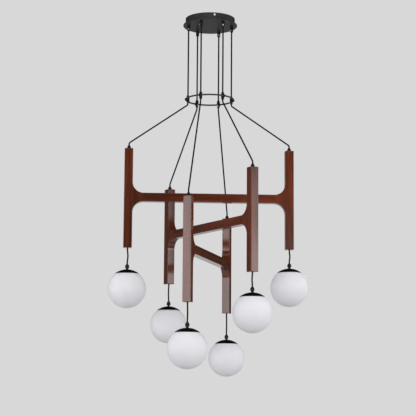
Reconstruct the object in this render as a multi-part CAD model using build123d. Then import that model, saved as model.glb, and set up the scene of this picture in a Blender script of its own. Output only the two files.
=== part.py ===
from build123d import *
from math import atan2, cos, radians, sin, sqrt, tan
import os

# A pendant light: six opal globes hang from three wooden H frames, which hang from one canopy.
# Sizes are in millimetres and angles in degrees. The origin is on the ceiling, at the canopy's
# axis, and z points up. Angles are counted about z from +X. The +X end of a frame is its right.

# Cords: six run down from the canopy through a ring, and each pair carries one frame. A bend
# at a grip takes up a share of the straight run beside it.
cord_diameter = 6.0
cord_circle_diameter = 175.0
cord_count = 6
cord_turn = 6.0
cord_play = 0.5
swing_gap = 0.3
bend_share = 0.45

# Canopy: a drum welded onto a wider round plate, held by two side screws to a ceiling bracket
canopy_height = 30.0
drum_margin = 12.0
drum_wall = 1.2
plate_overhang = 9.5
plate_thickness = 5.0
plate_edge_round = 2.2

bracket_turn = -80.4
bracket_width = 24.0
bracket_thickness = 2.0
bracket_bend_radius = 1.0
bracket_foot_height = 17.0
bracket_play = 0.4
ceiling_hole_circle = 120.0
ceiling_hole_diameter = 5.5

side_screw_diameter = 4.0
side_screw_depth = 10.0
side_screw_reach = 9.0
side_screw_head_diameter = 9.0
side_screw_head_height = 5.0
side_screw_groove_depth = 0.5
side_screw_groove_width = 1.0
screw_play = 0.1

terminal_length = 60.0
terminal_width = 17.0
terminal_height = 12.0
terminal_groove_width = 1.6
terminal_groove_depth = 4.0
terminal_pole_count = 6
terminal_hole_diameter = 4.4

tail_gap = 6.0
tail_corner_cut = 8.0
tail_bend_radius = 8.5

# Cord grips under the canopy plate, with their nuts inside the canopy
canopy_grip_diameter = 13.0
canopy_grip_length = 22.0
canopy_grip_tip_diameter = 9.5
canopy_grip_taper = 4.0
grip_stem_diameter = 10.0
grip_stem_play = 0.2
grip_nut_width = 14.0
grip_nut_height = 3.0
grip_nut_stand = 1.0

# Small screws that pinch the cord in each grip, with the way each one faces
set_screw_diameter = 3.0
set_screw_head_diameter = 5.8
set_screw_head_height = 1.8
set_screw_slot_width = 1.0
set_screw_slot_depth = 0.8
set_screw_rise = 7.0
canopy_screw_angles = (235.0, 275.0, 90.0, 265.0, 195.0, 270.0)

# Spreader ring and the grips that hold it to the cords
ring_depth = 334.0
ring_wire_diameter = 6.4
ring_offset = 7.8
ring_grip_diameter = 12.5
ring_grip_length = 30.0
ring_grip_tip_diameter = 9.2
ring_grip_taper = 6.0
ring_pivot_rise = 2.0
ring_eye_diameter = 10.4
ring_eye_width = 8.0
ring_wire_play = 0.1

# Wooden H frames: two posts and a crossbar each, with a cord bored through each post
frame_span = 640.0
first_frame_below_ring = 205.0
frame_pitch = 117.0
frame_steps = (0, -1, 1)
frame_yaws = (-2.8, -5.2, 10.2)
post_width = 34.0
post_thickness = 32.0
post_height = 397.0
bar_height = 34.0
bar_rise = 3.0
shoulder_radius = 43.0
wood_edge_round = 2.0
tenon_length = 42.0
tenon_thickness = 10.0
tenon_height = 22.0
tenon_play = 0.15
tenon_end_gap = 0.8
post_bore_diameter = 9.4
post_pivot_rise = 3.0

post_grip_diameter = 15.0
post_grip_height = 13.0
post_grip_base_height = 6.0
post_grip_tip_diameter = 8.8
post_grip_stem_length = 12.0
post_grip_seat_play = 0.15
post_grip_seat_room = 5.0
lower_exit_run = 10.0
lower_entry_run = 10.0

# Lamps: a globe, its cap, a lampholder and a capsule lamp on each drop cord
globe_diameter = 150.0
glass_thickness = 3.0
neck_bore_diameter = 54.6
neck_wall = 3.0
neck_length = 12.0
neck_play = 0.3
drop_length = 165.0
drop_shares = ((0.982, 0.915), (1.018, 0.927), (1.036, 1.121))

cap_diameter = 94.0
cap_wall = 1.3
cap_clearance = 0.3
cap_collar_wall = 1.5
cap_collar_length = 10.5
cap_stem_height = 5.0
cap_nut_diameter = 16.0
cap_nut_height = 9.0
cap_nut_chamfer = 1.2
cap_cone_height = 6.0
cap_cone_tip_diameter = 9.4
cap_hole_play = 0.2

holder_diameter = 22.0
holder_foot_diameter = 18.0
holder_length = 25.0
holder_step = 9.0
holder_thread_depth = 9.0
holder_edge_round = 1.0
lamp_diameter = 15.0
lamp_length = 42.0
lamp_base_width = 13.0
lamp_base_height = 8.0
lamp_pin_diameter = 2.4
lamp_pin_pitch = 9.0
lamp_pin_length = 9.0
lamp_pin_play = 0.1

# One length by which cutting tools run past the faces that they cut
overrun = 1.0

# Sizes that follow from those above
cord_radius = cord_diameter / 2
cord_circle_radius = cord_circle_diameter / 2
cord_step = 360.0 / cord_count
grip_bore_radius = cord_radius + cord_play
drum_radius = cord_circle_radius + drum_margin
plate_radius = drum_radius + plate_overhang
plate_top = -canopy_height + plate_thickness
strip_depth = bracket_thickness + terminal_height / 2
ring_radius = cord_circle_radius + ring_offset
ring_grip_foot = -ring_depth - ring_grip_length / 2
ring_pivot_height = ring_grip_foot + ring_pivot_rise
canopy_grip_foot = -canopy_height - canopy_grip_length
bar_centre = -post_height / 2 + bar_rise
bar_join = frame_span / 2 - post_width / 2 - shoulder_radius
globe_radius = globe_diameter / 2
cap_inner_radius = globe_radius + cap_clearance
cap_outer_radius = cap_inner_radius + cap_wall
cap_rim_radius = cap_diameter / 2
holder_top = sqrt(cap_inner_radius**2 - (holder_diameter / 2) ** 2) - screw_play
neck_bore_radius = neck_bore_diameter / 2
neck_top = sqrt(globe_radius**2 - neck_bore_radius**2)


def polar(radius, angle, height):
    """A point at a radius and an angle about the z axis."""
    return Vector(radius * cos(radians(angle)), radius * sin(radians(angle)), height)


def turned(shape, angle, radius=0, height=0):
    """A shape moved out along +X and up, then turned about the z axis."""
    return Rot(0, 0, angle) * Pos(radius, 0, height) * shape


def column(radius, bottom, top):
    """A round bar on the z axis between two heights."""
    return Pos(0, 0, bottom) * Cylinder(
        radius, top - bottom, align=(Align.CENTER, Align.CENTER, Align.MIN)
    )


def turning(points):
    """A solid of revolution about z from the (radius, height) corners of its half section."""
    outline = Polyline(*[(radius, 0, height) for radius, height in points], close=True)
    return revolve(make_face(outline), Axis.Z)


def tube(points, radii):
    """A cord along straight runs that are joined by tangent arcs."""
    print("Arc radii of a cord:", *[round(radius, 1) for radius in radii])
    route = FilletPolyline(*points, radius=radii)
    section = Plane(origin=route @ 0, z_dir=route % 0) * Circle(cord_radius)
    return sweep(section, path=route)


def corner_radius(run, before, corner, after):
    """The radius of an arc at a corner that takes up a share of a run beside it."""
    half_turn = (corner - before).get_angle(after - corner) / 2
    return bend_share * run / tan(radians(half_turn))


def side_turn(end):
    """The turn about z that takes a frame's right end to the given end."""
    return 0 if end > 0 else 180


def save(name, *solids):
    """Write one node, which holds one solid or a set of small ones."""
    shape = solids[0] if len(solids) == 1 else Compound(label=name, children=list(solids))
    export_step(shape, f"parts/{name}.step")


# Canopy and what it holds


def canopy_drum():
    wall = column(drum_radius, plate_top, 0)
    wall -= column(drum_radius - drum_wall, plate_top - overrun, overrun)
    return wall - [screw_hole(drum_radius, end) for end in (0, 180)]


def screw_hole(radius, end):
    """The hole of one side screw, across the wall at the given radius."""
    hole = column(side_screw_diameter / 2 + screw_play, -side_screw_reach, side_screw_reach)
    return turned(Rot(0, 90, 0) * hole, bracket_turn + end, radius, -side_screw_depth)


def canopy_plate():
    plate = column(plate_radius, -canopy_height, plate_top)
    plate = fillet(plate.edges().filter_by(GeomType.CIRCLE), plate_edge_round)
    hole = column(grip_stem_diameter / 2 + grip_stem_play, -canopy_height - overrun, 0)
    return plate - [turned(hole, angle, cord_circle_radius) for angle in cord_angles]


def bracket_half_length():
    """Half the strap's length, so that the flat feet clear the round wall of the drum."""
    reach = drum_radius - drum_wall - bracket_play
    return sqrt(reach**2 - (bracket_width / 2) ** 2)


def ceiling_bracket():
    half = bracket_half_length()
    top = (Align.CENTER, Align.MAX)
    outside = Rectangle(2 * half, bracket_foot_height, align=top)
    outside = fillet(outside.vertices().group_by(Axis.Y)[-1], bracket_bend_radius + bracket_thickness)
    inside = Rectangle(2 * (half - bracket_thickness), bracket_foot_height, align=top)
    inside = fillet(inside.vertices().group_by(Axis.Y)[-1], bracket_bend_radius)
    profile = outside - Pos(0, -bracket_thickness) * inside
    strap = extrude(Plane.XZ * profile, bracket_width / 2, both=True)
    hole = column(ceiling_hole_diameter / 2, -canopy_height, overrun)
    for side in (-1, 1):
        strap -= Pos(side * ceiling_hole_circle / 2, 0, 0) * hole
    strap = turned(strap, bracket_turn)
    return strap - [screw_hole(half, end) for end in (0, 180)]


def side_screw(end):
    """A nickel thumb screw through the drum's wall into a foot of the bracket."""
    shank = column(side_screw_diameter / 2, -side_screw_reach, 0)
    head = column(side_screw_head_diameter / 2, 0, side_screw_head_height)
    head = chamfer(head.edges().filter_by(GeomType.CIRCLE), side_screw_groove_depth)
    groove_foot = (side_screw_head_height - side_screw_groove_width) / 2
    groove = column(side_screw_head_diameter, groove_foot, groove_foot + side_screw_groove_width)
    groove -= column(side_screw_head_diameter / 2 - side_screw_groove_depth, 0, side_screw_head_height)
    screw = Rot(0, 90, 0) * (shank + head - groove)
    return turned(screw, bracket_turn + end, drum_radius, -side_screw_depth)


def terminal_block():
    """A terminal strip under the bracket, grooved between its poles and bored along each."""
    block = Box(terminal_length, terminal_width, terminal_height)
    pitch = terminal_length / terminal_pole_count
    bore = Rot(90, 0, 0) * Cylinder(terminal_hole_diameter / 2, terminal_width + overrun)
    for pole in range(terminal_pole_count):
        block -= Pos((pole - (terminal_pole_count - 1) / 2) * pitch, 0, 0) * bore
    groove = Box(terminal_groove_width, terminal_width + overrun, terminal_groove_depth)
    height = (terminal_groove_depth - terminal_height) / 2
    for pole in range(1, terminal_pole_count):
        block -= Pos(pole * pitch - terminal_length / 2, 0, height) * groove
    return turned(block, bracket_turn, 0, -strip_depth)


def upper_cord(angle):
    """A cord from the terminal strip, down through its grip, to its pivot in the ring grip."""
    across = radians(angle - bracket_turn)
    strip_reach = min(
        terminal_length / 2 / abs(cos(across)),
        terminal_width / 2 / abs(sin(across)),
    )
    points = [
        polar(strip_reach + tail_gap, angle, -strip_depth),
        polar(cord_circle_radius - tail_corner_cut, angle, -strip_depth),
        polar(cord_circle_radius, angle, -strip_depth - tail_corner_cut),
        polar(cord_circle_radius, angle, ring_pivot_height + cord_radius + swing_gap),
    ]
    return tube(points, [tail_bend_radius, tail_bend_radius])


def canopy_grip(angle):
    body = turning(
        [
            (grip_bore_radius, canopy_grip_foot),
            (canopy_grip_tip_diameter / 2, canopy_grip_foot),
            (canopy_grip_diameter / 2, canopy_grip_foot + canopy_grip_taper),
            (canopy_grip_diameter / 2, -canopy_height),
            (grip_stem_diameter / 2, -canopy_height),
            (grip_stem_diameter / 2, plate_top + grip_nut_height + grip_nut_stand),
            (grip_bore_radius, plate_top + grip_nut_height + grip_nut_stand),
        ]
    )
    return turned(body, angle, cord_circle_radius)


def canopy_nut(angle):
    outline = RegularPolygon(grip_nut_width / 2, 6, major_radius=False)
    outline -= Circle(grip_stem_diameter / 2 + screw_play)
    return turned(extrude(outline, grip_nut_height), angle, cord_circle_radius, plate_top)


def set_screw(cord_angle, height, wall_radius, facing):
    """A slotted screw in the side of a grip, at a height, that faces the given way."""
    shank = column(set_screw_diameter / 2, grip_bore_radius, wall_radius)
    head = column(set_screw_head_diameter / 2, wall_radius, wall_radius + set_screw_head_height)
    slot = Box(set_screw_slot_width, set_screw_head_diameter, 2 * set_screw_slot_depth)
    slot = Pos(0, 0, wall_radius + set_screw_head_height) * slot
    screw = Rot(0, 90, 0) * (shank + head - slot)
    return Pos(*polar(cord_circle_radius, cord_angle, height)) * Rot(0, 0, facing) * screw


def set_screw_hole(cord_angle, height, wall_radius, facing):
    hole = Rot(0, 90, 0) * column(set_screw_diameter / 2 + screw_play, 0, wall_radius + overrun)
    return Pos(*polar(cord_circle_radius, cord_angle, height)) * Rot(0, 0, facing) * hole


# Spreader ring and its grips


def spreader_ring():
    return Pos(0, 0, -ring_depth) * Torus(ring_radius, ring_wire_diameter / 2)


def ring_grip(angle):
    tip = ring_grip_tip_diameter / 2
    side = ring_grip_diameter / 2
    head = ring_grip_foot + ring_grip_length
    body = turning(
        [
            (grip_bore_radius, ring_grip_foot),
            (tip, ring_grip_foot),
            (side, ring_grip_foot + ring_grip_taper),
            (side, head - ring_grip_taper),
            (tip, head),
            (grip_bore_radius, head),
        ]
    )
    eye = Rot(90, 0, 0) * Cylinder(ring_eye_diameter / 2, ring_eye_width)
    body += Pos(ring_offset, 0, -ring_depth) * eye
    body -= column(grip_bore_radius, ring_grip_foot - overrun, head + overrun)
    wire_way = Torus(ring_radius, ring_wire_diameter / 2 + ring_wire_play)
    return turned(body, angle, cord_circle_radius) - Pos(0, 0, -ring_depth) * wire_way


# Wooden frames


def h_blank():
    """The whole H as one board, with its four shoulders and all its edges rounded."""
    side = Rectangle(post_width, post_height, align=(Align.CENTER, Align.MAX))
    outline = Pos(0, bar_centre) * Rectangle(frame_span, bar_height)
    for end in (-1, 1):
        outline += Pos(end * frame_span / 2, 0) * side
    corners = outline.vertices()
    shoulders = corners.filter_by_position(Axis.Y, bar_centre - bar_height, bar_centre + bar_height)
    outline = fillet(shoulders, shoulder_radius)
    board = extrude(Plane.XZ * outline, post_thickness / 2, both=True)
    across = board.edges().filter_by(Axis.Y).group_by(Axis.Z)
    return fillet(board.edges().filter_by(Plane.XZ) + across[0] + across[-1], wood_edge_round)


def tenon(play, end_gap):
    """A tenon on the right end of the crossbar, or with its play the mortise that takes it."""
    length = tenon_length + end_gap
    block = Box(length, tenon_thickness + 2 * play, tenon_height + 2 * play)
    return Pos(bar_join + length / 2, 0, bar_centre) * block


def post_bore():
    depth = post_grip_stem_length + post_grip_seat_room
    seat = column(grip_stem_diameter / 2 + post_grip_seat_play, -depth, overrun)
    return seat + column(post_bore_diameter / 2, -post_height - overrun, overrun)


def frame_woods():
    """The left post, right post and crossbar of one frame, upright, with the post tops at z 0."""
    board = h_blank()
    middle = Pos(0, 0, bar_centre) * Box(2 * bar_join, 2 * post_thickness, 2 * post_height)
    flip = Rot(0, 0, 180)
    bar = board & middle
    right_side = board - middle
    right_side &= Pos(frame_span, 0, bar_centre) * Box(
        2 * frame_span, 2 * post_thickness, 2 * post_height
    )
    right = right_side - tenon(tenon_play, tenon_end_gap)
    right -= Pos(frame_span / 2, 0, 0) * post_bore()
    left = flip * right
    bar = bar + tenon(0, 0) + flip * tenon(0, 0)
    return left, right, bar


def post_grip():
    """A cord grip on top of a post, at the post's axis, with its stem down in the post."""
    tip = post_grip_tip_diameter / 2
    base = post_grip_diameter / 2
    stem = grip_stem_diameter / 2
    return turning(
        [
            (grip_bore_radius, -post_grip_stem_length),
            (stem, -post_grip_stem_length),
            (stem, 0),
            (base, 0),
            (base, post_grip_base_height),
            (tip, post_grip_height),
            (grip_bore_radius, post_grip_height),
        ]
    )


def frame_cord(frame, end):
    """A cord from its pivot in the ring grip, down through a post, to the pivot of the lamp."""
    port = frame_port(frame) + side_turn(end)
    post = frame_angle(frame) + side_turn(end)
    mouth = frame_top(frame) + post_grip_height
    foot = frame_top(frame) - post_height + post_pivot_rise + cord_radius + swing_gap
    points = [
        polar(cord_circle_radius, port, ring_pivot_height),
        polar(cord_circle_radius, port, ring_pivot_height - lower_exit_run),
        polar(frame_span / 2, post, mouth + lower_entry_run),
        polar(frame_span / 2, post, foot),
    ]
    radii = [
        corner_radius(lower_exit_run, *points[:3]),
        corner_radius(lower_entry_run, *points[1:]),
    ]
    return tube(points, radii) + Pos(*points[0]) * Sphere(cord_radius)


# Lamps, about the globe's centre


def ball_section(radius, cut_radius):
    """The right half of a circle, open at the top where it meets a cut of a given radius."""
    top = (cut_radius, sqrt(radius**2 - cut_radius**2))
    return ThreePointArc((0, -radius), (radius, 0), top), top


def globe():
    """A hollow glass ball with a threaded neck that is turned inwards."""
    inner_radius = globe_radius - glass_thickness
    outside, mouth = ball_section(globe_radius, neck_bore_radius)
    inside, root = ball_section(inner_radius, neck_bore_radius + neck_wall)
    foot = neck_top - neck_length
    neck = Polyline(mouth, (neck_bore_radius, foot), (neck_bore_radius + neck_wall, foot), root)
    axis_edge = Line((0, -globe_radius), (0, -inner_radius))
    section = make_face([outside, neck, inside, axis_edge])
    return revolve(Plane.XZ * section, Axis.Z)


def dome(radius, rim):
    """A solid ball top above a rim radius, closed by a cone to the ball's centre."""
    height = sqrt(radius**2 - rim**2)
    middle = radius * sin(atan2(rim, height) / 2), radius * cos(atan2(rim, height) / 2)
    arc = ThreePointArc((0, radius), middle, (rim, height))
    section = make_face([arc, Line((rim, height), (0, 0)), Line((0, 0), (0, radius))])
    return revolve(Plane.XZ * section, Axis.Z)


def lamp_cap():
    """A spun dome that follows the globe, with a threaded collar for the globe's neck."""
    shell = dome(cap_outer_radius, cap_rim_radius) - Sphere(cap_inner_radius)
    collar_radius = neck_bore_radius - neck_play
    collar = column(collar_radius, neck_top - cap_collar_length, cap_inner_radius)
    collar -= column(collar_radius - cap_collar_wall, 0, cap_outer_radius)
    collar &= Sphere(cap_inner_radius + cap_wall / 2)
    hole = column(grip_stem_diameter / 2 + cap_hole_play, 0, cap_outer_radius + overrun)
    return shell + collar - hole


def cap_grip_body():
    """A hollow threaded stem that clamps the cap between its shoulder and the lampholder."""
    bottom = holder_top - holder_thread_depth
    top = cap_outer_radius + cap_stem_height
    stem = column(grip_stem_diameter / 2, bottom, top)
    return stem - column(grip_bore_radius, 0, top + overrun)


def cap_grip_nut():
    """The round nut and cone that close on the cord above the stem."""
    bottom = cap_outer_radius + cap_stem_height
    edge = cap_nut_diameter / 2
    top = bottom + cap_nut_height
    return turning(
        [
            (grip_bore_radius, bottom),
            (edge - cap_nut_chamfer, bottom),
            (edge, bottom + cap_nut_chamfer),
            (edge, top),
            (cap_cone_tip_diameter / 2, top + cap_cone_height),
            (grip_bore_radius, top + cap_cone_height),
        ]
    )


def lampholder():
    """A ceramic holder, stepped, with a threaded top and two pin holes below."""
    foot = holder_top - holder_length
    body = turning(
        [
            (0, foot),
            (holder_foot_diameter / 2, foot),
            (holder_foot_diameter / 2, holder_top - holder_step),
            (holder_diameter / 2, holder_top - holder_step),
            (holder_diameter / 2, holder_top),
            (0, holder_top),
        ]
    )
    rim_edges = body.edges().filter_by(GeomType.CIRCLE).group_by(Axis.Z)[0]
    body = fillet(rim_edges, holder_edge_round)
    thread_foot = holder_top - holder_thread_depth
    thread = column(grip_stem_diameter / 2 + screw_play, thread_foot, cap_outer_radius)
    pin_room = foot + lamp_pin_length + lamp_pin_play
    pin_way = column(lamp_pin_diameter / 2 + lamp_pin_play, foot - overrun, pin_room)
    for side in (-1, 1):
        body -= Pos(side * lamp_pin_pitch / 2, 0, 0) * pin_way
    return body - thread


def capsule_lamp():
    """A small plug-in lamp: two pins, a flat base and a round-ended capsule."""
    top = holder_top - holder_length
    base = Box(lamp_base_width, lamp_base_width, lamp_base_height)
    lamp = Pos(0, 0, top - lamp_base_height / 2) * base
    radius = lamp_diameter / 2
    middle = top - lamp_length + radius
    lamp += column(radius, middle, top - lamp_base_height) + Pos(0, 0, middle) * Sphere(radius)
    pin = column(lamp_pin_diameter / 2, top, top + lamp_pin_length)
    return lamp + [Pos(side * lamp_pin_pitch / 2, 0, 0) * pin for side in (-1, 1)]


def drop_cord(drop):
    """A cord from its pivot inside the post down into the stem on the cap."""
    pivot = drop + post_pivot_rise
    return column(cord_radius, holder_top, pivot) + Pos(0, 0, pivot) * Sphere(cord_radius)


# Places


def frame_port(frame):
    """The angle of the ring grip at a frame's right end."""
    return cord_turn + frame_steps[frame] * cord_step


def frame_angle(frame):
    """The angle at which a frame hangs, a little off the line through its two ring grips."""
    return frame_port(frame) + frame_yaws[frame]


def frame_top(frame):
    return -ring_depth - first_frame_below_ring - frame * frame_pitch


cord_angles = [cord_turn + cord_step * number for number in range(cord_count)]
frames = range(len(frame_steps))
ends = (("left", -1), ("right", 1))


def build_canopy():
    save("ceiling_bracket", ceiling_bracket())
    save("canopy_drum", canopy_drum())
    save("canopy_plate", canopy_plate())
    save("terminal_block", terminal_block())
    canopy_rise = canopy_grip_foot + set_screw_rise
    canopy_wall = canopy_grip_diameter / 2
    ring_rise = ring_grip_foot + set_screw_rise
    ring_wall = ring_grip_diameter / 2
    screws = [side_screw(0), side_screw(180)]
    grips = []
    ring_grips = []
    for angle, facing in zip(cord_angles, canopy_screw_angles):
        inward = angle + 180
        grips.append(canopy_grip(angle) - set_screw_hole(angle, canopy_rise, canopy_wall, facing))
        grips.append(canopy_nut(angle))
        ring_grips.append(ring_grip(angle) - set_screw_hole(angle, ring_rise, ring_wall, inward))
        screws.append(set_screw(angle, canopy_rise, canopy_wall, facing))
        screws.append(set_screw(angle, ring_rise, ring_wall, inward))
    save("canopy_cord_grips", *grips)
    save("ring_grips", *ring_grips)
    save("nickel_screws", *screws)
    save("spreader_ring", spreader_ring())
    save("upper_cords", *[upper_cord(angle) for angle in cord_angles])


def build_frames():
    left, right, bar = frame_woods()
    for frame in frames:
        number = frame + 1
        angle = frame_angle(frame)
        top = frame_top(frame)
        grips = [turned(post_grip(), angle, end * frame_span / 2, top) for _, end in ends]
        save(f"frame_{number}_left_post", turned(left, angle, 0, top))
        save(f"frame_{number}_right_post", turned(right, angle, 0, top))
        save(f"frame_{number}_crossbar", turned(bar, angle, 0, top))
        save(f"frame_{number}_post_grips", *grips)
        save(f"frame_{number}_cords", *[frame_cord(frame, end) for _, end in ends])


def build_lamps():
    glass = globe()
    cap = lamp_cap()
    grip_body = cap_grip_body()
    grip_nut = cap_grip_nut()
    holder = lampholder()
    lamp = capsule_lamp()
    for frame in frames:
        for (side, end), share in zip(ends, drop_shares[frame]):
            drop = drop_length * share
            reach = end * frame_span / 2
            name = f"{frame + 1}_{side}"
            where = (frame_angle(frame), reach, frame_top(frame) - post_height - drop)
            save(f"drop_cord_{name}", turned(drop_cord(drop), *where))
            save(f"lamp_cap_{name}", turned(cap, *where))
            save(f"cap_grip_{name}", turned(grip_body, *where), turned(grip_nut, *where))
            save(f"lampholder_{name}", turned(holder, *where))
            save(f"capsule_lamp_{name}", turned(lamp, *where))
            save(f"globe_{name}", turned(glass, *where))


os.makedirs("parts", exist_ok=True)
build_canopy()
build_frames()
build_lamps()
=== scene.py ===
from math import cos, degrees, pi, radians, sin, sqrt

import bmesh
import bpy
from mathutils import Matrix, Vector


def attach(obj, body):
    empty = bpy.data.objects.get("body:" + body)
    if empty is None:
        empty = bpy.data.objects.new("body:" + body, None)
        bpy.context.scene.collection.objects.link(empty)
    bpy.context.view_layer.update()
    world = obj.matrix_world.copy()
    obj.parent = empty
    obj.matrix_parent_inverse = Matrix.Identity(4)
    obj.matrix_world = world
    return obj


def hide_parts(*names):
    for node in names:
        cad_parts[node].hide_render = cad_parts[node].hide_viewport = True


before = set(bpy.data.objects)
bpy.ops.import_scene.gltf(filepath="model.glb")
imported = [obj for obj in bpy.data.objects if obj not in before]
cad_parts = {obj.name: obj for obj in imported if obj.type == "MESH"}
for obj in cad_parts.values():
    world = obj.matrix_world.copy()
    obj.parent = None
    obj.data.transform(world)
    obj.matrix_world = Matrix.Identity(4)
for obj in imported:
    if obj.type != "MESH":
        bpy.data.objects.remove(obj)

bl_info = {
    "name": "Six-globe H-frame pendant",
    "version": (1, 0, 0),
    "blender": (4, 5, 0),
    "location": "3D View > Sidebar > Pendant",
    "description": "Dresses a pendant light of three stained H frames and six opal globes",
    "category": "Object",
}

# Lengths are in metres and the origin is on the ceiling, at the canopy's axis. Angles are
# counted about z from +X, and the +X end of a frame is its right. They are in degrees, apart
# from the panel's own, which Blender keeps in radians.
MM = 0.001
MOUNT = "ceiling_mount"
ENDS = (("left", -1), ("right", 1))

# Each frame hangs on two opposite cords. The steps lead round from the first cord to the one at
# a frame's right end, and the yaws are how far the frames hang off the line of their cords.
CORD_COUNT = 6
FRAME_STEPS = (0, -1, 1)
FRAME_YAWS = (-2.8, -5.2, 10.2)

# The drops at the left and right end of each frame, as shares of the usual drop
DROP_SHARES = ((0.982, 0.915), (1.018, 0.927), (1.036, 1.121))

# Facets round a cord and a wire, and steps of their lines from one control point to the next
CORD_SIDES = 16
WIRE_SIDES = 10
LINE_STEPS = 20

# The camera's lens and sensor in millimetres, its place, and its turns
LENS = 113.5
SENSOR_WIDTH = 36.0
CAMERA_PLACE = (0.0, -5.1478, -1.5311)
CAMERA_YAW, CAMERA_PITCH, CAMERA_ROLL = -0.04, 8.38, 0.41

# Each soft light's name, place, width, height and radiance. They all face one point.
LIT_POINT = (0, 0, -0.95)
SOFTBOXES = (
    ("Left_softbox", (-2.27, -3.36, -0.95), 2.3, 2.0, 3.0),
    ("Right_softbox", (2.86, -2.87, -1.05), 4.79, 1.2, 3.4),
    ("Upper_right_softbox", (2.95, -2.78, -0.2), 4.53, 0.5, 1.7),
    ("Left_side_softbox", (-3.0, -0.5, -0.9), 2.1, 2.2, 1.8),
    ("Right_side_softbox", (3.0, 0.6, -0.6), 2.1, 2.2, 1.6),
    ("Top_softbox", (0, -1.7, 1.6), 2.2, 1.6, 1.9),
    ("Front_softbox", (0, -4.2, 2.2), 3.0, 1.4, 1.2),
)

# The world's own light on matt surfaces, from all sides
FILL_STRENGTH = 0.76

# The floor lies well below the lamps. Most of what the eye sees of it is its own glow.
FLOOR_RADIUS = 14.0
FLOOR_DEPTH = 3.4
FLOOR_SIDES = 96
FLOOR_GLOW = 0.85


def linear(colour):
    """An sRGB hex colour as linear red, green and blue."""
    shares = [int(colour[i : i + 2], 16) / 255 for i in (1, 3, 5)]
    return [s / 12.92 if s <= 0.04045 else ((s + 0.055) / 1.055) ** 2.4 for s in shares]


def toned(tint, *shares):
    """A colour made deeper or paler by each of the shares."""
    return [[channel * share for channel in tint] for share in shares]


def length(name, description, millimetres):
    """A size in the panel, given here in millimetres and kept in metres."""
    return bpy.props.FloatProperty(
        name=name,
        description=description,
        default=millimetres * MM,
        precision=4,
        subtype="DISTANCE",
        unit="LENGTH",
    )


def colour(name, description, value):
    """A colour in the panel, given here as sRGB hex."""
    return bpy.props.FloatVectorProperty(
        name=name,
        description=description,
        default=linear(value),
        subtype="COLOR",
        size=3,
        min=0.0,
        max=1.0,
    )


class PendantSizes(bpy.types.PropertyGroup):
    """The sizes that the dressed pieces share with the solids."""

    cord_diameter: length("Cord diameter", "Outside diameter of the braided cord", 6.0)
    cord_circle: length("Cord circle", "Diameter of the circle that the cords hang on", 175.0)
    cord_turn: bpy.props.FloatProperty(
        name="Cord turn",
        description="Angle of the first cord about the canopy's axis",
        default=radians(6.0),
        subtype="ANGLE",
        unit="ROTATION",
    )
    ring_depth: length("Ring depth", "From the ceiling to the spreader ring's middle", 334.0)
    ring_grip: length("Ring grip", "Length of a cord grip on the ring", 30.0)
    ring_pivot: length("Ring pivot", "Height of a cord's pivot above its ring grip's foot", 2.0)
    exit_run: length("Exit run", "Straight stretch of cord below a ring grip", 10.0)
    frame_span: length("Frame span", "Between the cords in the two posts of a frame", 640.0)
    first_frame: length("First frame", "From the ring down to the top frame's posts", 205.0)
    frame_pitch: length("Frame pitch", "Step from one frame down to the next", 117.0)
    post_height: length("Post height", "Length of a post", 397.0)
    post_grip: length("Post grip", "Height of the cord grip on a post's top", 13.0)
    post_pivot: length("Post pivot", "Height of a drop cord's pivot in its post", 3.0)
    drop: length("Drop", "Usual height from a post's foot to the globe's middle", 165.0)
    globe: length("Globe", "Outside diameter of a globe", 150.0)
    holder: length("Lampholder", "Diameter of a lampholder", 22.0)
    cap_gap: length("Cap gap", "Between a globe and its cap", 0.3)
    cap_wall: length("Cap wall", "Thickness of a spun cap", 1.3)
    cap_fittings: length("Cap fittings", "Height of the stem, nut and cone on a cap", 20.0)
    play: length("Play", "Clearance of threads and screws", 0.1)
    swing_gap: length("Swing gap", "Between the two cords that meet at a pivot", 0.3)
    strip_depth: length("Strip depth", "From the ceiling to the terminal strip's middle", 8.0)
    corner_cut: length("Corner cut", "Cut across the corner where a cord turns down", 8.0)
    tail_gap: length("Tail gap", "From the terminal strip to the end of a cord's sheath", 6.0)
    strip_length: length("Strip length", "Length of the terminal strip", 60.0)
    strip_width: length("Strip width", "Width of the terminal strip", 17.0)
    way_pitch: length("Way pitch", "Between the bores of the terminal strip", 10.0)
    core_diameter: length("Core diameter", "Outside diameter of a wire in the cord", 2.2)
    bracket_turn: bpy.props.FloatProperty(
        name="Bracket turn",
        description="Angle of the ceiling bracket about the canopy's axis",
        default=radians(-80.4),
        subtype="ANGLE",
        unit="ROTATION",
    )


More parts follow.
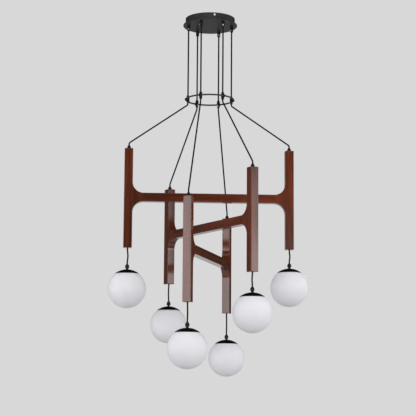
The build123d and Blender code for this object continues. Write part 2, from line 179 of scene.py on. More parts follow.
class PendantColours(bpy.types.PropertyGroup):
    """The colours of the finishes."""

    wood: colour("Stained wood", "Stain on the posts and crossbars", "#481b06")
    wood_light: colour("Light grain", "Paler bands of the stained wood", "#6a2b0d")
    wood_dark: colour("Dark grain", "Pores and late wood", "#2a0c04")
    board_tone: bpy.props.FloatProperty(
        name="Board tone",
        description="Another value makes other boards paler or darker",
        default=0.0,
    )
    canopy: colour("Canopy", "Powder coat of the canopy", "#262528")
    ring: colour("Ring", "Enamel of the spreader ring", "#343237")
    cap: colour("Cap", "Enamel of the lamp caps", "#0b0b0d")
    grip: colour("Grip", "Nylon of the cord grips", "#0e0e10")
    cord: colour("Cord", "Threads of the cord's sleeve", "#0b0c0d")
    # A painted highlight on the threads' crowns, paler than the painted shade between them
    cord_crown_highlight: colour("Cord crowns", "Threads where they rise over each other", "#17181b")
    glass: colour("Opal glass", "Glass of the globes", "#e3e3e9")
    nickel: colour("Nickel", "Plating of the screws", "#e6e5e2")
    zinc: colour("Zinc", "Plating of the bracket", "#b4b5b2")
    ceramic: colour("Ceramic", "Steatite of the lampholders", "#ece8dc")
    quartz: colour("Quartz", "Frosted glass of the capsule lamps", "#f4f3ee")
    quartz_cloud: colour("Quartz cloud", "Faint cloud in that glass", "#e9e7df")
    strip: colour("Terminal strip", "Natural polyamide of the terminal strip", "#dcd8c8")
    live_core: colour("Live core", "Sheath of the brown wires", "#5b3320")
    neutral_core: colour("Neutral core", "Sheath of the blue wires", "#2a5f9e")
    backdrop: colour("Backdrop", "The plain studio background", "#d8d8d8")
    fill: colour("Fill", "Soft light from all round the studio", "#bebdbc")


# Nodes and meshes


def node(tree, kind, sockets=None, **settings):
    """Add a node, set its properties, and give its inputs values or other nodes' outputs."""
    made = tree.nodes.new(kind)
    for name, value in settings.items():
        setattr(made, name, value)
    for name, value in (sockets or {}).items():
        if isinstance(value, bpy.types.NodeSocket):
            tree.links.new(value, made.inputs[name])
        else:
            made.inputs[name].default_value = value
    return made


def grown(source, tree, values, name):
    """Run a tree on an object's data once, and keep the result as a plain mesh piece."""
    holder = bpy.data.objects.new(name + "_source", source)
    bpy.context.scene.collection.objects.link(holder)
    modifier = holder.modifiers.new("Shape", "NODES")
    modifier.node_group = tree
    for item in tree.interface.items_tree:
        if item.name in values:
            modifier[item.identifier] = values[item.name]
    bpy.context.view_layer.update()
    graph = bpy.context.evaluated_depsgraph_get()
    mesh = bpy.data.meshes.new_from_object(holder.evaluated_get(graph))
    mesh.name = name
    bpy.data.objects.remove(holder)
    return piece(name, mesh)


def piece(name, mesh):
    """Put a mesh into the scene as an object at the origin."""
    made = bpy.data.objects.new(name, mesh)
    bpy.context.scene.collection.objects.link(made)
    return made


def wear(node_name, material):
    """Give a CAD node its finish."""
    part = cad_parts[node_name]
    part.data.materials.clear()
    part.data.materials.append(material)


# Finishes


def finish(name, sockets):
    """A new material with its shader, and the place of each point on the object."""
    made = bpy.data.materials.new(name)
    made.use_nodes = True
    tree = made.node_tree
    tree.nodes.clear()
    shader = node(tree, "ShaderNodeBsdfPrincipled", sockets)
    node(tree, "ShaderNodeOutputMaterial", {"Surface": shader.outputs[0]})
    place = node(tree, "ShaderNodeTexCoord").outputs["Object"]
    return made, tree, shader, place


def mottled(name, sockets, tints, grain, cloud=None, matt=None, relief=0.0):
    """A finish of two tints that mingle in its cloud or, where it has none, in its grain.

    A pattern is given by its size and its detail. The grain shows in the gloss where matt gives
    the least and the greatest roughness, and in the surface where relief gives a height.
    """
    made, tree, shader, place = finish(name, sockets)
    patterns = [
        node(
            tree,
            "ShaderNodeTexNoise",
            {"Vector": place, "Scale": 1 / size, "Detail": detail},
        ).outputs["Fac"]
        for size, detail in filter(None, (grain, cloud))
    ]
    grained, clouded = patterns[0], patterns[-1]
    shade = node(
        tree,
        "ShaderNodeMix",
        {0: clouded, 6: (*tints[0], 1), 7: (*tints[1], 1)},
        data_type="RGBA",
    )
    tree.links.new(shade.outputs[2], shader.inputs["Base Color"])
    if matt:
        gloss = node(
            tree,
            "ShaderNodeMapRange",
            {"Value": grained, "To Min": matt[0], "To Max": matt[1]},
        )
        tree.links.new(gloss.outputs[0], shader.inputs["Roughness"])
    if relief:
        bump = node(tree, "ShaderNodeBump", {"Height": grained, "Distance": relief})
        tree.links.new(bump.outputs[0], shader.inputs["Normal"])
    return made


def powder_coated_steel(tint):
    """Polyester powder baked onto pressed steel: a satin black with a fine orange peel."""
    peel_size = 1.6 * MM
    peel_height = 0.03 * MM
    cloud_size = 45 * MM
    return mottled(
        "Powder_coated_steel",
        {"IOR": 1.5, "Specular IOR Level": 0.35},
        toned(tint, 0.85, 1.15),
        grain=(peel_size, 2.0),
        cloud=(cloud_size, 2.0),
        matt=(0.36, 0.5),
        relief=peel_height,
    )


def enamel(name, tint, roughness, shine):
    """Stove enamel on metal: smooth and dark, with the faint ripple of a sprayed coat."""
    ripple_size = 3 * MM
    ripple_height = 0.02 * MM
    return mottled(
        name,
        {"IOR": 1.5, "Specular IOR Level": shine},
        toned(tint, 0.85, 1.15),
        grain=(ripple_size, 2.0),
        matt=(roughness - 0.04, roughness + 0.06),
        relief=ripple_height,
    )


def moulded_nylon(tint):
    """Glass-filled nylon from a sparked mould: near black, with a fine even grain."""
    grain_size = 0.5 * MM
    grain_height = 0.02 * MM
    return mottled(
        "Moulded_nylon",
        {"IOR": 1.53, "Specular IOR Level": 0.2},
        toned(tint, 0.8, 1.2),
        grain=(grain_size, 2.0),
        matt=(0.34, 0.5),
        relief=grain_height,
    )


def plated_metal(name, tint, roughness, mark_size):
    """Bright plating over turned or rolled metal: soft marks of the tool show through it."""
    return mottled(
        name,
        {"Metallic": 1.0},
        toned(tint, 0.85, 1.0),
        grain=(mark_size, 3.0),
        matt=(roughness - 0.07, roughness + 0.1),
    )


def plain_moulding(name, tint, roughness, grain_size):
    """A pale or coloured moulding, glaze or sheath with a slight unevenness."""
    light_reach = 1 * MM
    return mottled(
        name,
        {"IOR": 1.5, "Subsurface Weight": 0.1, "Subsurface Scale": light_reach},
        toned(tint, 0.92, 1.0),
        grain=(grain_size, 2.0),
        matt=(roughness - 0.05, roughness + 0.08),
    )


def opal_glass(tint):
    """Mouth-blown opal glass, acid-etched outside: a soft white with no sharp highlight."""
    light_reach = 6 * MM
    cloud_size = 60 * MM
    etch_size = 0.8 * MM
    etch_height = 0.01 * MM
    return mottled(
        "Etched_opal_glass",
        {
            "IOR": 1.5,
            "Subsurface Weight": 0.35,
            "Subsurface Scale": light_reach,
            "Subsurface Radius": (1.0, 1.0, 1.0),
        },
        toned(tint, 0.97, 1.0),
        grain=(etch_size, 2.0),
        cloud=(cloud_size, 1.0),
        matt=(0.5, 0.6),
        relief=etch_height,
    )


def frosted_capsule(colours):
    """Frosted quartz glass of a small lamp: milky, with a faint cloud in it."""
    cloud_size = 4 * MM
    return mottled(
        "Frosted_quartz_glass",
        {"Roughness": 0.35, "IOR": 1.46, "Transmission Weight": 0.5},
        (colours.quartz_cloud, colours.quartz),
        grain=(cloud_size, 2.0),
    )


def wood_figure(tree, place, yaw, along_bar):
    """The growth bands, fine streaks and pores along a post or a crossbar.

    The yaw is in radians. The pores are drawn about twice as wide as real ones, so that they
    show.
    """
    grains = {}
    # Width and length of each mark
    for label, width, run in (
        ("band", 11 * MM, 260 * MM),
        ("streak", 2.2 * MM, 90 * MM),
        ("pore", 0.6 * MM, 9 * MM),
    ):
        stretch = (run, width, width) if along_bar else (width, width, run)
        laid = node(
            tree,
            "ShaderNodeMapping",
            {"Vector": place, "Rotation": (0, 0, yaw), "Scale": stretch},
            vector_type="TEXTURE",
        )
        grains[label] = node(
            tree,
            "ShaderNodeTexNoise",
            {"Vector": laid.outputs[0], "Scale": 1.0, "Detail": 3.0, "Distortion": 0.3},
        ).outputs["Fac"]
    return grains


def stained_wood(name, yaw, along_bar, colours):
    """Rubberwood stained walnut under satin lacquer.

    The stain darkens the pores and end grain, and the lacquer lays a soft gloss over it.
    """
    made, tree, shader, place = finish(
        name,
        {
            "IOR": 1.5,
            "Specular IOR Level": 0.1,
            "Coat Weight": 1.0,
            "Coat Roughness": 0.14,
            "Coat IOR": 1.6,
        },
    )
    grains = wood_figure(tree, place, yaw, along_bar)
    banded = node(
        tree,
        "ShaderNodeMapRange",
        {"Value": grains["band"], "From Min": 0.35, "From Max": 0.7},
    )
    body = node(
        tree,
        "ShaderNodeMix",
        {0: banded.outputs[0], 6: (*colours.wood, 1), 7: (*colours.wood_light, 1)},
        data_type="RGBA",
    )
    streaks = node(
        tree,
        "ShaderNodeMapRange",
        {"Value": grains["streak"], "From Min": 0.45, "From Max": 0.75, "To Max": 0.55},
    )
    streaked = node(
        tree,
        "ShaderNodeMix",
        {0: streaks.outputs[0], 6: body.outputs[2], 7: (*colours.wood_dark, 1)},
        data_type="RGBA",
    )
    pores = node(
        tree,
        "ShaderNodeMapRange",
        {"Value": grains["pore"], "From Min": 0.58, "From Max": 0.68},
    )
    facing = node(tree, "ShaderNodeTexCoord").outputs["Normal"]
    upward = node(tree, "ShaderNodeSeparateXYZ", {0: facing}).outputs["Z"]
    level = node(tree, "ShaderNodeMath", {0: upward}, operation="ABSOLUTE").outputs[0]
    end_stain = 0.0 if along_bar else 0.6
    end_grain = node(
        tree,
        "ShaderNodeMapRange",
        {"Value": level, "From Min": 0.8, "From Max": 0.98, "To Max": end_stain},
    )
    darkest = node(
        tree,
        "ShaderNodeMath",
        {0: pores.outputs[0], 1: end_grain.outputs[0]},
        operation="MAXIMUM",
    )
    stained = node(
        tree,
        "ShaderNodeMix",
        {0: darkest.outputs[0], 6: streaked.outputs[2], 7: (*colours.wood_dark, 1)},
        data_type="RGBA",
    )
    # Each board takes the stain a little differently.
    board_size = 420 * MM
    board = node(
        tree,
        "ShaderNodeTexNoise",
        {"Vector": place, "Scale": 1 / board_size, "Detail": 0.0, "W": colours.board_tone},
        noise_dimensions="4D",
    )
    tones = {"From Min": 0.3, "From Max": 0.7, "To Min": 0.75, "To Max": 1.35}
    tone = node(tree, "ShaderNodeMapRange", {"Value": board.outputs["Fac"], **tones})
    shade = node(
        tree,
        "ShaderNodeHueSaturation",
        {"Color": stained.outputs[2], "Value": tone.outputs[0]},
    )
    gloss = node(
        tree,
        "ShaderNodeMapRange",
        {"Value": grains["streak"], "To Min": 0.38, "To Max": 0.52},
    )
    pore_depth = 0.04 * MM
    bump = node(
        tree,
        "ShaderNodeBump",
        {"Height": pores.outputs[0], "Distance": pore_depth, "Strength": 0.5},
        invert=True,
    )
    tree.links.new(shade.outputs[0], shader.inputs["Base Color"])
    tree.links.new(gloss.outputs[0], shader.inputs["Roughness"])
    tree.links.new(bump.outputs[0], shader.inputs["Normal"])
    return made


def braided_sleeve(colours):
    """Polyester threads braided over the cord: two sets of threads cross in small diamonds.

    The threads are drawn about 1.3 mm apart, a little coarser than real ones, so that they show.
    Their crowns are painted paler and the hollows between them darker: painted highlight and
    shade.
    """
    made, tree, shader, _ = finish(
        "Braided_polyester",
        {
            "Roughness": 0.62,
            "IOR": 1.5,
            "Specular IOR Level": 0.06,
            "Sheen Weight": 0.01,
            "Sheen Roughness": 0.5,
        },
    )
    threads_round = 12
    thread_pitch = 1.3 * MM
    thread_height = 0.15 * MM
    around = node(tree, "ShaderNodeAttribute", attribute_name="around").outputs["Vector"]
    along = node(tree, "ShaderNodeAttribute", attribute_name="along").outputs["Fac"]
    across = node(tree, "ShaderNodeSeparateXYZ", {0: around}).outputs
    angle = node(
        tree, "ShaderNodeMath", {0: across["Y"], 1: across["X"]}, operation="ARCTAN2"
    )
    wound = node(
        tree, "ShaderNodeMath", {0: angle.outputs[0], 1: threads_round}, operation="MULTIPLY"
    )
    run = node(
        tree, "ShaderNodeMath", {0: along, 1: 2 * pi / thread_pitch}, operation="MULTIPLY"
    )
    waves = []
    for sense in ("ADD", "SUBTRACT"):
        phase = node(
            tree, "ShaderNodeMath", {0: wound.outputs[0], 1: run.outputs[0]}, operation=sense
        )
        waves.append(node(tree, "ShaderNodeMath", {0: phase.outputs[0]}, operation="SINE"))
    woven = node(
        tree,
        "ShaderNodeMath",
        {0: waves[0].outputs[0], 1: waves[1].outputs[0]},
        operation="MULTIPLY",
    )
    crown = node(tree, "ShaderNodeMapRange", {"Value": woven.outputs[0], "From Min": -1.0})
    # The crowns are painted paler and the hollows between threads darker: a painted highlight
    # and painted shade over the bump's real relief.
    shade = node(
        tree,
        "ShaderNodeMix",
        {0: crown.outputs[0], 6: (*colours.cord, 1), 7: (*colours.cord_crown_highlight, 1)},
        data_type="RGBA",
    )
    bump = node(
        tree, "ShaderNodeBump", {"Height": crown.outputs[0], "Distance": thread_height}
    )
    tree.links.new(shade.outputs[2], shader.inputs["Base Color"])
    tree.links.new(bump.outputs[0], shader.inputs["Normal"])
    return made


# Places


def polar(radius, angle, height):
    """A point at a radius and an angle in degrees about the canopy's axis."""
    return Vector((radius * cos(radians(angle)), radius * sin(radians(angle)), height))


def cord_angle(sizes, number):
    """The angle of a cord about the canopy's axis."""
    return degrees(sizes.cord_turn) + number * 360 / CORD_COUNT


def frame_angle(sizes, number):
    """The angle at which a frame hangs, a little off the line through its ring grips."""
    return cord_angle(sizes, FRAME_STEPS[number]) + FRAME_YAWS[number]


def frame_top(sizes, number):
    """Height of the tops of a frame's posts."""
    return -sizes.ring_depth - sizes.first_frame - number * sizes.frame_pitch


def ring_pivot(sizes):
    """Height at which the frame cords turn in the ring grips."""
    return -sizes.ring_depth - sizes.ring_grip / 2 + sizes.ring_pivot


def holder_top(sizes):
    """Height of a lampholder's top above its globe's middle."""
    inner = sizes.globe / 2 + sizes.cap_gap
    return sqrt(inner**2 - (sizes.holder / 2) ** 2) - sizes.play


def cone_top(sizes):
    """Height of the top of a cap's cone above its globe's middle."""
    return sizes.globe / 2 + sizes.cap_gap + sizes.cap_wall + sizes.cap_fittings


# Cords


def smooth_line(name, *runs):
    """A curve with one open spline for each run of control points."""
    line = bpy.data.curves.new(name, "CURVE")
    line.dimensions = "3D"
    line.resolution_u = LINE_STEPS
    for points in runs:
        spline = line.splines.new("NURBS")
        spline.points.add(len(points) - 1)
        for control, place in zip(spline.points, points):
            control.co = (*place, 1.0)
        spline.order_u = 3
        spline.use_endpoint_u = True
    return line


def tube_tree():
    """A round section swept along a curve, with each point's place round and along it kept."""
    tree = bpy.data.node_groups.new("Swept_tube", "GeometryNodeTree")
    for label, flow, kind in (
        ("Geometry", "INPUT", "NodeSocketGeometry"),
        ("Geometry", "OUTPUT", "NodeSocketGeometry"),
        ("Diameter", "INPUT", "NodeSocketFloat"),
        ("Sides", "INPUT", "NodeSocketInt"),
        ("Finish", "INPUT", "NodeSocketMaterial"),
    ):
        tree.interface.new_socket(label, in_out=flow, socket_type=kind)
    given = node(tree, "NodeGroupInput").outputs
    half = node(tree, "ShaderNodeMath", {0: given["Diameter"], 1: 0.5}, operation="MULTIPLY")
    ring = node(
        tree,
        "GeometryNodeCurvePrimitiveCircle",
        {"Resolution": given["Sides"], "Radius": half.outputs[0]},
    )
    section = node(
        tree,
        "GeometryNodeStoreNamedAttribute",
        {
            "Geometry": ring.outputs[0],
            "Name": "around",
            "Value": node(tree, "GeometryNodeInputPosition").outputs[0],
        },
        data_type="FLOAT_VECTOR",
        domain="POINT",
    )
    rail = node(
        tree,
        "GeometryNodeStoreNamedAttribute",
        {
            "Geometry": given["Geometry"],
            "Name": "along",
            "Value": node(tree, "GeometryNodeSplineParameter").outputs["Length"],
        },
        data_type="FLOAT",
        domain="POINT",
    )
    swept = node(
        tree,
        "GeometryNodeCurveToMesh",
        {"Curve": rail.outputs[0], "Profile Curve": section.outputs[0], "Fill Caps": True},
    )
    smooth = node(tree, "GeometryNodeSetShadeSmooth", {"Geometry": swept.outputs[0]})
    real = node(tree, "GeometryNodeRealizeInstances", {"Geometry": smooth.outputs[0]})
    worn = node(
        tree,
        "GeometryNodeSetMaterial",
        {"Geometry": real.outputs[0], "Material": given["Finish"]},
    )
    node(tree, "NodeGroupOutput", {"Geometry": worn.outputs[0]})
    return tree


def swept_cord(tree, name, points, diameter, sleeve):
    """A cord's mesh along its spline, and the points that it follows."""
    line = smooth_line(name, points)
    bare = bpy.data.objects.new(name + "_line", line)
    path = [v.co.copy() for v in bpy.data.meshes.new_from_object(bare).vertices]
    bpy.data.objects.remove(bare)
    values = {"Diameter": diameter, "Sides": CORD_SIDES, "Finish": sleeve}
    return grown(line, tree, values, name), path


class PENDANT_OT_cords(bpy.types.Operator):
    """Lay the braided cords from the canopy to the ring, the posts and the lamps"""

    bl_idname = "pendant.cords"
    bl_label = "Cords"

    def execute(self, context):
        sizes = context.scene.pendant_sizes
        sleeve = braided_sleeve(context.scene.pendant_colours)
        tree = tube_tree()
        for name, body, node_name, lay, points in self.routes(sizes):
            cord, path = swept_cord(tree, name, points, sizes.cord_diameter, sleeve)
            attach(cord, body)
            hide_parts(node_name)
        return {"FINISHED"}

    def routes(self, sizes):
        """Each cord's name, body, CAD node, lay and control points."""
        rows = []
        for number in range(CORD_COUNT):
            points = self.upper(sizes, cord_angle(sizes, number))
            rows.append((f"upper_cord_{number + 1}", MOUNT, "upper_cords", "taut", points))
        for number in range(len(FRAME_STEPS)):
            label = f"frame_{number + 1}"
            for side, end in ENDS:
                turn = 0 if end > 0 else 180
                port = cord_angle(sizes, FRAME_STEPS[number]) + turn
                post = frame_angle(sizes, number) + turn
                name = f"lower_cord_{number + 1}_{side}"
                points = self.lower(sizes, number, port, post)
                rows.append((name, label, f"{label}_cords", "taut", points))
                rows.append(self.drop(sizes, number, side, end, post))
        return rows

    def upper(self, sizes, angle):
        """From the terminal strip over to a grip, and straight down to the ring."""
        radius = sizes.cord_circle / 2
        turned_down = -sizes.strip_depth - sizes.corner_cut
        return [
            tail_start(sizes, angle),
            polar(radius - sizes.corner_cut, angle, -sizes.strip_depth),
            polar(radius, angle, turned_down),
            polar(radius, angle, turned_down - sqrt(2) * sizes.corner_cut),
            polar(radius, angle, ring_pivot(sizes) + sizes.cord_diameter / 2 + sizes.swing_gap),
        ]

    def lower(self, sizes, number, port, post):
        """Out of a ring grip, straight over to a post, and down through it."""
        radius, reach = sizes.cord_circle / 2, sizes.frame_span / 2
        top = frame_top(sizes, number)
        bend = polar(radius, port, ring_pivot(sizes) - sizes.exit_run)
        turned_down = polar(reach, post, top + sizes.post_grip + sizes.exit_run)
        ahead = (turned_down - bend).normalized()
        pivot = top - sizes.post_height + sizes.post_pivot
        return [
            polar(radius, port, ring_pivot(sizes)),
            bend,
            bend + sizes.exit_run * ahead,
            turned_down - sizes.exit_run * ahead,
            turned_down,
            polar(reach, post, top + sizes.post_grip),
            polar(reach, post, pivot + sizes.cord_diameter / 2 + sizes.swing_gap),
        ]

    def drop(self, sizes, number, side, end, post):
        """A cord down out of a post, with the slight set of a cord that came off a reel."""
        foot = frame_top(sizes, number) - sizes.post_height
        share = DROP_SHARES[number][(end + 1) // 2]
        middle = foot - sizes.drop * share
        reach = sizes.frame_span / 2
        cone = middle + cone_top(sizes)
        # The cords bow outwards and inwards by turns, from one frame to the next.
        lean = sizes.cord_diameter / 2 * (-1) ** number
        points = [
            polar(reach, post, foot + sizes.post_pivot),
            polar(reach, post, foot - sizes.exit_run),
            polar(reach + lean * end, post, (foot + cone) / 2),
            polar(reach, post, cone + sizes.exit_run),
            polar(reach, post, cone - sizes.exit_run),
            polar(reach, post, middle + holder_top(sizes)),
        ]
        name = f"{number + 1}_{side}"
        return f"drop_cord_piece_{name}", f"lamp_{name}", f"drop_cord_{name}", "hanging", points


def tail_start(sizes, angle):
    """Where a cord's sheath ends beside the terminal strip."""
    across = radians(angle) - sizes.bracket_turn
    reach = min(
        sizes.strip_length / 2 / abs(cos(across)),
        sizes.strip_width / 2 / abs(sin(across)),
    )
    return polar(reach + sizes.tail_gap, angle, -sizes.strip_depth)


def core_run(sizes, angle, core):
    """A wire from a cord's end into a bore of the terminal strip.

    The cord at the middle of a side takes the two middle bores, and its neighbours the outer
    ones. Core 0 takes the first bore of the two and core 1 the second.
    """
    # The places are found along the strip as if it lay on X, and turned with it at the end.
    turn = Matrix.Rotation(sizes.bracket_turn, 3, "Z")
    start = tail_start(sizes, angle) @ turn
    ahead = (polar(1, angle, 0) @ turn).normalized()
    side = 1 if start.y > 0 else -1
    nearest = round(start.x / sizes.way_pitch / 2)
    way = core - 0.5 + 2 * nearest
    mouth = Vector((way * sizes.way_pitch, side * sizes.strip_width / 2, start.z))
    inward = Vector((0, -side * sizes.tail_gap / 2, 0))
    beside = (core - 0.5) * sizes.core_diameter * Vector((abs(ahead.y), -side * ahead.x, 0))
    places = (
        start + beside + sizes.core_diameter * ahead,
        start + beside - sizes.core_diameter / 2 * ahead,
        mouth - inward,
        mouth,
        mouth + inward,
    )
    return [turn @ place for place in places]


class PENDANT_OT_canopy(bpy.types.Operator):
    """Finish the canopy, its bracket, screws and wiring"""

    bl_idname = "pendant.canopy"
    bl_label = "Canopy"

    def execute(self, context):
        colours = context.scene.pendant_colours
        rolled_size, turned_size, grain_size = 3 * MM, 0.4 * MM, 2 * MM
        coat = powder_coated_steel(colours.canopy)
        zinc = plated_metal("Zinc_plated_steel", colours.zinc, 0.38, rolled_size)
        nickel = plated_metal("Nickel_plated_brass", colours.nickel, 0.45, turned_size)
        strip = plain_moulding("Natural_polyamide", colours.strip, 0.5, grain_size)
        for name in ("canopy_drum", "canopy_plate"):
            wear(name, coat)
        wear("ceiling_bracket", zinc)
        wear("nickel_screws", nickel)
        wear("terminal_block", strip)
        self.wires(context.scene.pendant_sizes, colours)
        return {"FINISHED"}

    def wires(self, sizes, colours):
        """A brown and a blue wire out of each cord's end."""
        tree = tube_tree()
        grain_size = 2 * MM
        angles = [cord_angle(sizes, number) for number in range(CORD_COUNT)]
        tints = (("Brown", colours.live_core), ("Blue", colours.neutral_core))
        for core, (label, tint) in enumerate(tints):
            sheath = plain_moulding(f"{label}_PVC", tint, 0.4, grain_size)
            runs = [core_run(sizes, angle, core) for angle in angles]
            values = {"Diameter": sizes.core_diameter, "Sides": WIRE_SIDES, "Finish": sheath}
            name = f"{label.lower()}_wires"
            wires = grown(smooth_line(name, *runs), tree, values, name)
            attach(wires, MOUNT)


class PENDANT_OT_grips(bpy.types.Operator):
    """Finish the cord grips on the canopy, the ring, the posts and the caps"""

    bl_idname = "pendant.grips"
    bl_label = "Cord grips"

    def execute(self, context):
        colours = context.scene.pendant_colours
        nylon = moulded_nylon(colours.grip)
        wear("canopy_cord_grips", nylon)
        wear("ring_grips", nylon)
        for number in range(len(FRAME_STEPS)):
            wear(f"frame_{number + 1}_post_grips", nylon)
            for side, _ in ENDS:
                wear(f"cap_grip_{number + 1}_{side}", nylon)
        return {"FINISHED"}


class PENDANT_OT_ring(bpy.types.Operator):
    """Finish the spreader ring"""

    bl_idname = "pendant.ring"
    bl_label = "Spreader ring"

    def execute(self, context):
        tint = context.scene.pendant_colours.ring
        wear("spreader_ring", enamel("Enamelled_wire", tint, 0.4, 0.3))
        return {"FINISHED"}


class PENDANT_OT_frames(bpy.types.Operator):
    """Stain the three wooden H frames, with the grain along each post and crossbar"""

    bl_idname = "pendant.frames"
    bl_label = "H frames"

    def execute(self, context):
        sizes = context.scene.pendant_sizes
        colours = context.scene.pendant_colours
        for number in range(len(FRAME_STEPS)):
            label = f"frame_{number + 1}"
            yaw = radians(frame_angle(sizes, number))
            name = f"Stained_rubberwood_posts_{number + 1}"
            upright = stained_wood(name, yaw, False, colours)
            name = f"Stained_rubberwood_bar_{number + 1}"
            level = stained_wood(name, yaw, True, colours)
            for side, _ in ENDS:
                wear(f"{label}_{side}_post", upright)
            wear(f"{label}_crossbar", level)
        return {"FINISHED"}


class PENDANT_OT_lamps(bpy.types.Operator):
    """Finish the caps, globes, lampholders and capsule lamps"""

    bl_idname = "pendant.lamps"
    bl_label = "Lamps"

    def execute(self, context):
        colours = context.scene.pendant_colours
        glaze_size = 1.5 * MM
        black = enamel("Enamelled_spun_steel", colours.cap, 0.4, 0.06)
        opal = opal_glass(colours.glass)
        ceramic = plain_moulding("Steatite_ceramic", colours.ceramic, 0.3, glaze_size)
        quartz = frosted_capsule(colours)
        for number in range(len(FRAME_STEPS)):
            for side, _ in ENDS:
                name = f"{number + 1}_{side}"
                wear(f"lamp_cap_{name}", black)
                wear(f"globe_{name}", opal)
                wear(f"lampholder_{name}", ceramic)
                wear(f"capsule_lamp_{name}", quartz)
        return {"FINISHED"}


# Stage


def camera_matrix():
    """Where the camera stands and how it is turned. At no turn it looks along +Y."""
    yaw, pitch, roll = radians(CAMERA_YAW), radians(CAMERA_PITCH), radians(CAMERA_ROLL)
    ahead = Vector((sin(yaw) * cos(pitch), cos(yaw) * cos(pitch), sin(pitch)))
    right = ahead.cross(Vector((0, 0, 1))).normalized()
    up = right.cross(ahead)
    rolled_right = cos(roll) * right + sin(roll) * up
    rolled_up = cos(roll) * up - sin(roll) * right
    turned = Matrix((rolled_right, rolled_up, -ahead)).transposed()
    return Matrix.Translation(CAMERA_PLACE) @ turned.to_4x4()


def softbox(name, place, width, height, radiance):
    """A plain white area light of a given radiance, turned towards the lit point."""
    lamp = bpy.data.lights.new(name, "AREA")
    lamp.shape = "RECTANGLE"
    lamp.size, lamp.size_y = width, height
    lamp.energy = radiance * pi * width * height
    holder = bpy.data.objects.new(name, lamp)
    holder.visible_camera = False
    bpy.context.scene.collection.objects.link(holder)
    aim = (Vector(LIT_POINT) - Vector(place)).to_track_quat("-Z", "Y")
    holder.matrix_world = Matrix.Translation(place) @ aim.to_matrix().to_4x4()


def studio_world(colours):
    """An even grey backdrop for the eye, gloss and glass, and a soft fill for matt surfaces."""
    world = bpy.data.worlds.new("Studio")
    world.use_nodes = True
    tree = world.node_tree
    tree.nodes.clear()
    path = node(tree, "ShaderNodeLightPath").outputs
    seen = node(
        tree,
        "ShaderNodeMath",
        {0: path["Is Camera Ray"], 1: path["Is Transmission Ray"]},
        operation="MAXIMUM",
    )
    # The backdrop stands on the far side and is not wide, so gloss that turns away from it
    # finds the dim room there, with a paler wall on the left.
    way = node(tree, "ShaderNodeTexCoord").outputs["Generated"]
    side = node(tree, "ShaderNodeSeparateXYZ", {0: way}).outputs
    far_side = node(
        tree,
        "ShaderNodeMapRange",
        {"Value": side["Y"], "From Min": 0.96, "From Max": 0.995, "To Min": 0.03},
    )
    left_side = node(
        tree,
        "ShaderNodeMapRange",
        {"Value": side["X"], "From Min": -0.4, "From Max": -0.9, "To Max": 0.13},
    )
    room = node(
        tree,
        "ShaderNodeMath",
        {0: far_side.outputs[0], 1: left_side.outputs[0]},
        operation="MAXIMUM",
    )
    gloss = node(
        tree,
        "ShaderNodeMath",
        {0: path["Is Glossy Ray"], 1: room.outputs[0]},
        operation="MULTIPLY",
    )
    shown = node(
        tree, "ShaderNodeMath", {0: seen.outputs[0], 1: gloss.outputs[0]}, operation="MAXIMUM"
    )
    direct = node(
        tree,
        "ShaderNodeMath",
        {0: seen.outputs[0], 1: path["Is Glossy Ray"]},
        operation="MAXIMUM",
    )
    fill = node(
        tree,
        "ShaderNodeBackground",
        {"Color": (*colours.fill, 1), "Strength": FILL_STRENGTH},
    )
    plain = node(
        tree,
        "ShaderNodeBackground",
        {"Color": (*colours.backdrop, 1), "Strength": shown.outputs[0]},
    )
    mixed = node(
        tree,
        "ShaderNodeMixShader",
        {0: direct.outputs[0], 1: fill.outputs[0], 2: plain.outputs[0]},
    )
    node(tree, "ShaderNodeOutputWorld", {"Surface": mixed.outputs[0]})
    bpy.context.scene.world = world


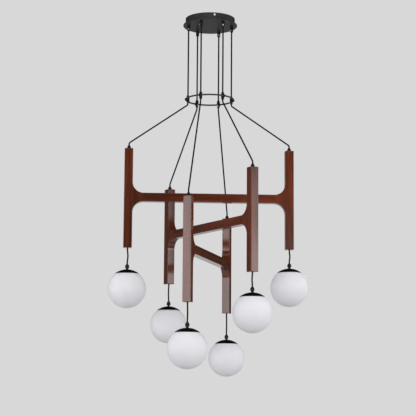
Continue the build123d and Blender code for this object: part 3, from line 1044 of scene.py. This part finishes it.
class PENDANT_OT_stage(bpy.types.Operator):
    """Set up the camera, the soft lights, the backdrop and the floor"""

    bl_idname = "pendant.stage"
    bl_label = "Stage"

    def execute(self, context):
        scene = context.scene
        lens = bpy.data.cameras.new("Camera")
        lens.lens = LENS
        lens.sensor_width = SENSOR_WIDTH
        eye = bpy.data.objects.new("Camera", lens)
        scene.collection.objects.link(eye)
        eye.matrix_world = camera_matrix()
        scene.camera = eye
        scene.view_settings.view_transform = "Standard"
        studio_world(scene.pendant_colours)
        for light in SOFTBOXES:
            softbox(*light)
        self.floor(scene.pendant_colours.backdrop)
        return {"FINISHED"}

    def floor(self, tint):
        """A wide pale disc well below the lamps."""
        tool = bmesh.new()
        bmesh.ops.create_circle(tool, cap_ends=True, segments=FLOOR_SIDES, radius=FLOOR_RADIUS)
        mesh = bpy.data.meshes.new("Studio_floor")
        tool.to_mesh(mesh)
        tool.free()
        mesh.transform(Matrix.Translation((0, 0, -FLOOR_DEPTH)))
        ground = piece("Studio_floor", mesh)
        grit_size = 8 * MM
        paint = mottled(
            "Painted_floor",
            {"Roughness": 0.9},
            toned(tint, 0.98, 1.0),
            grain=(grit_size, 2.0),
        )
        self.brighten(paint.node_tree)
        mesh.materials.append(paint)

    def brighten(self, tree):
        """Show the eye a floor nearly as pale as the backdrop, with a light shadow on it."""
        shader = tree.nodes["Principled BSDF"]
        tint = shader.inputs["Base Color"].links[0].from_socket
        glow = node(tree, "ShaderNodeEmission", {"Color": tint})
        seen = node(tree, "ShaderNodeLightPath").outputs["Is Camera Ray"]
        share = node(tree, "ShaderNodeMath", {0: seen, 1: FLOOR_GLOW}, operation="MULTIPLY")
        mixed = node(
            tree,
            "ShaderNodeMixShader",
            {0: share.outputs[0], 1: shader.outputs[0], 2: glow.outputs[0]},
        )
        tree.links.new(mixed.outputs[0], tree.nodes["Material Output"].inputs["Surface"])


OPERATORS = (
    PENDANT_OT_stage,
    PENDANT_OT_cords,
    PENDANT_OT_canopy,
    PENDANT_OT_grips,
    PENDANT_OT_ring,
    PENDANT_OT_frames,
    PENDANT_OT_lamps,
)


class PENDANT_PT_panel(bpy.types.Panel):
    """The pendant's pieces, sizes and colours"""

    bl_idname = "PENDANT_PT_panel"
    bl_label = "Pendant"
    bl_space_type = "VIEW_3D"
    bl_region_type = "UI"
    bl_category = "Pendant"

    def draw(self, context):
        for kind in OPERATORS:
            self.layout.operator(kind.bl_idname)
        for group in (context.scene.pendant_sizes, context.scene.pendant_colours):
            box = self.layout.box()
            for name in group.bl_rna.properties.keys():
                if name not in ("rna_type", "name"):
                    box.prop(group, name)


CLASSES = (PendantSizes, PendantColours, *OPERATORS, PENDANT_PT_panel)


def register():
    for kind in CLASSES:
        bpy.utils.register_class(kind)
    bpy.types.Scene.pendant_sizes = bpy.props.PointerProperty(type=PendantSizes)
    bpy.types.Scene.pendant_colours = bpy.props.PointerProperty(type=PendantColours)


def unregister():
    del bpy.types.Scene.pendant_colours
    del bpy.types.Scene.pendant_sizes
    for kind in reversed(CLASSES):
        bpy.utils.unregister_class(kind)


def main():
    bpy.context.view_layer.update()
    register()
    bpy.ops.pendant.stage()
    bpy.ops.pendant.cords()
    bpy.ops.pendant.canopy()
    bpy.ops.pendant.grips()
    bpy.ops.pendant.ring()
    bpy.ops.pendant.frames()
    bpy.ops.pendant.lamps()


if __name__ == "__main__":
    main()
